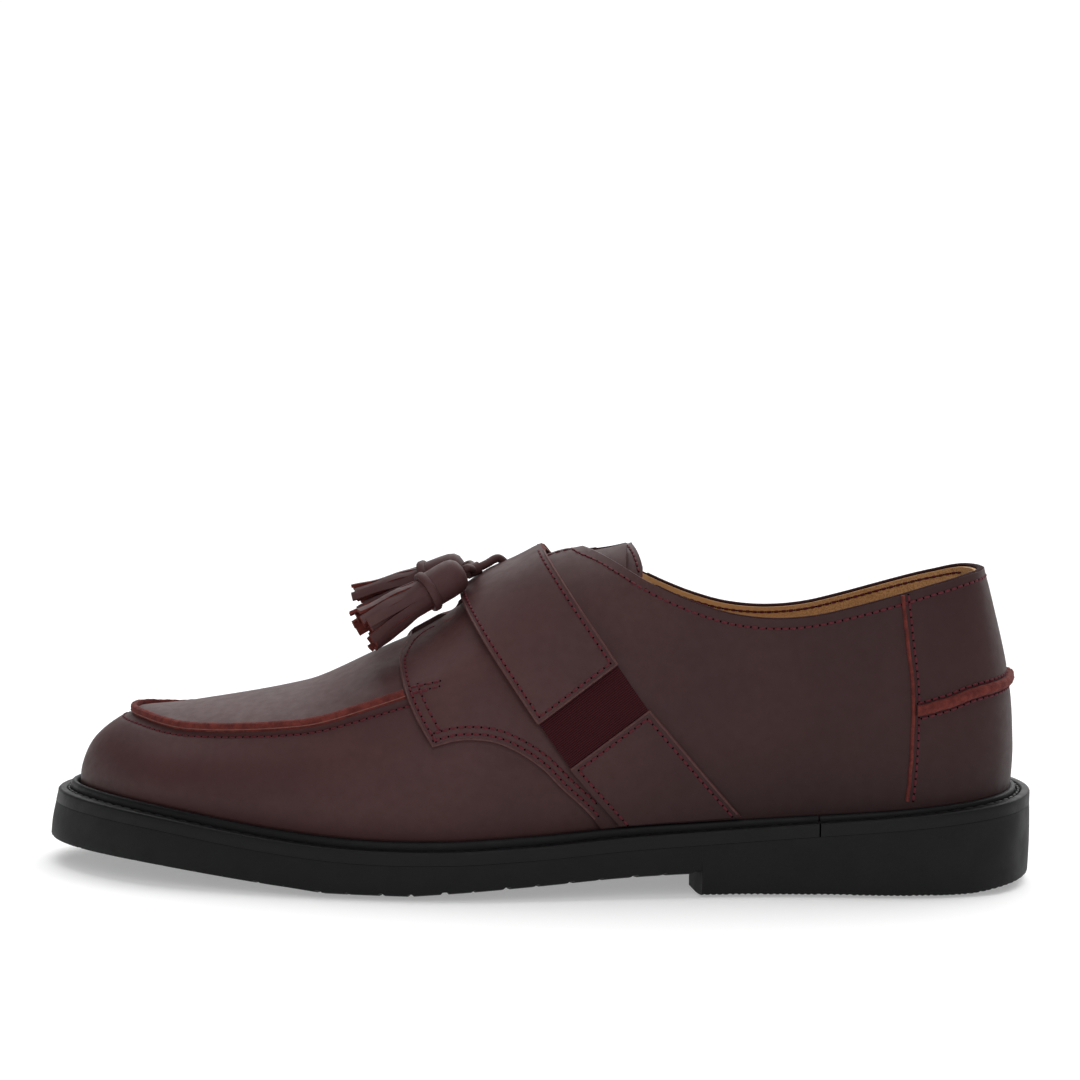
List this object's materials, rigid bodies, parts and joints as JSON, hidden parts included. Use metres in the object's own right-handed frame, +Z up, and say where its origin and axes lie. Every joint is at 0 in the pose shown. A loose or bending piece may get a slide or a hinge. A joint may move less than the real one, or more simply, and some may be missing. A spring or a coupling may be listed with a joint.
{
  "type": "tassel loafer",
  "caption": "Low slip-on leather shoe with a raised apron toe, wing quarters, a band with elastic over the instep, hanging tassels and a welted rubber sole with a low heel",
  "frame": {"origin": "on the floor under the middle of the shoe's outline", "axes": "+X runs from the toe to the heel, +Y to the inner side of the foot, +Z up"},
  "size_m": [0.303, 0.1089, 0.1019],
  "materials": {
    "leather": "smooth matte burgundy-brown calf, faint sheen, fine grain",
    "raw_edge": "raw cut leather edge, matte red-brown",
    "webbing": "ribbed woven elastic, matte dark burgundy",
    "lining": "tan lining leather, matte, slightly napped at the heel",
    "sole_rubber": "black semi-matte moulded rubber",
    "welt_rubber": "black satin strip with a glossy bead"
  },
  "bodies": {
    "root": {"outsole": "sole_rubber", "welt": "welt_rubber", "insole": "lining", "upper": "leather", "tongue": "leather", "strap": "leather", "elastic_lateral": "webbing", "elastic_medial": "webbing", "anchor_lateral": "leather", "anchor_medial": "leather", "apron_rim": "raw_edge", "heel_piping_lateral": "raw_edge", "heel_piping_medial": "raw_edge", "heel_ridge": "raw_edge", "tassel_lateral": "leather", "tassel_medial": "leather", "tassel_cord": "leather"}
  },
  "joints": []
}
